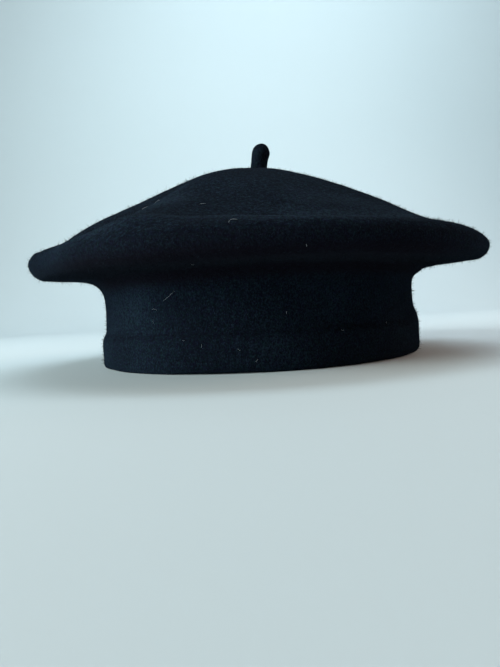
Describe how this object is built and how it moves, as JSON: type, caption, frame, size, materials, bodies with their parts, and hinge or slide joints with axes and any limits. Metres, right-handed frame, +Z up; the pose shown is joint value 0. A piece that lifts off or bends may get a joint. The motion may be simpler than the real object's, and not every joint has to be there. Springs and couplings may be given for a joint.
{
  "type": "felt beret",
  "caption": "Soft black wool felt beret with a domed crown, a wide rolled rim, a band with a turned-up hem and a short stalk on top, resting on its band",
  "frame": {"origin": "the centre of the hat's plan on the plane that the folded edge of the band rests on", "axes": "+Z up through the crown and the stalk, +X to the right of the front view, +Y to the back; the front faces -Y"},
  "size_m": [0.2682, 0.2682, 0.1327],
  "materials": {
    "body_felt": "black felted wool with a short brushed nap and a faint cool cast",
    "stalk_felt": "hard-rolled black felted wool with a short fuzz"
  },
  "bodies": {
    "root": {"felt_body": "body_felt", "stalk": "stalk_felt"}
  },
  "joints": []
}
